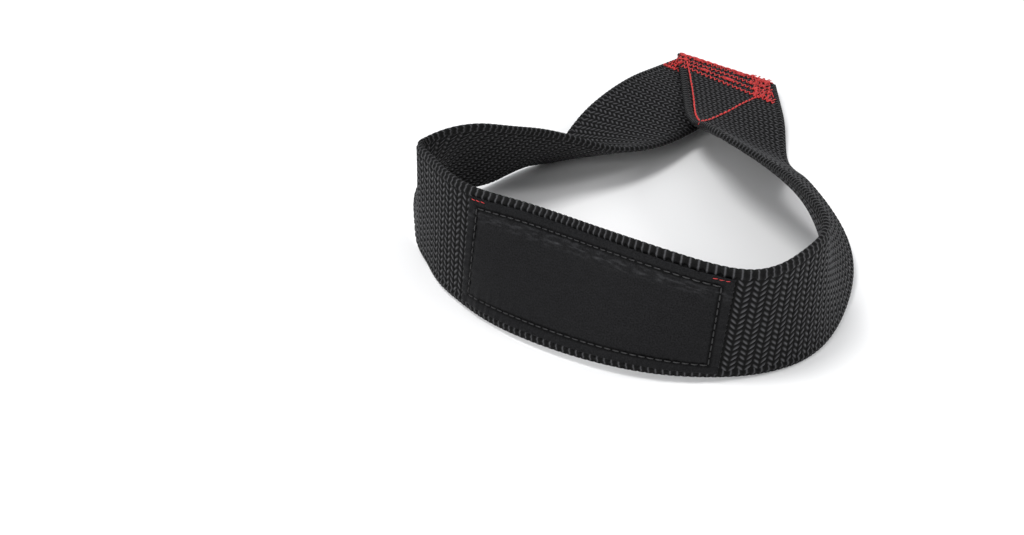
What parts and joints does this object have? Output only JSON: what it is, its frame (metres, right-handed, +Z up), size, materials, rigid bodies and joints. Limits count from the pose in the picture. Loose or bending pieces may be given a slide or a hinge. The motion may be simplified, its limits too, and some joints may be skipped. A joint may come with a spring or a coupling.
{
  "type": "weightlifting strap",
  "caption": "Closed-loop lifting strap of black nylon webbing, its ends lapped and sewn to a point, with a plain sewn-on label.",
  "frame": {"origin": "on the surface the strap lies on, under the middle of its bounding box", "axes": "+Z up; +Y from the label towards the sewn end, along the strap's longest side; +X to the right seen from the label"},
  "size_m": [0.1388, 0.2418, 0.0402],
  "materials": {
    "nylon_webbing": "woven black nylon, matt with small highlights on the yarns",
    "woven_label": "black woven satin with a soft sheen"
  },
  "bodies": {
    "root": {"webbing": "nylon_webbing", "label": "woven_label"}
  },
  "joints": []
}
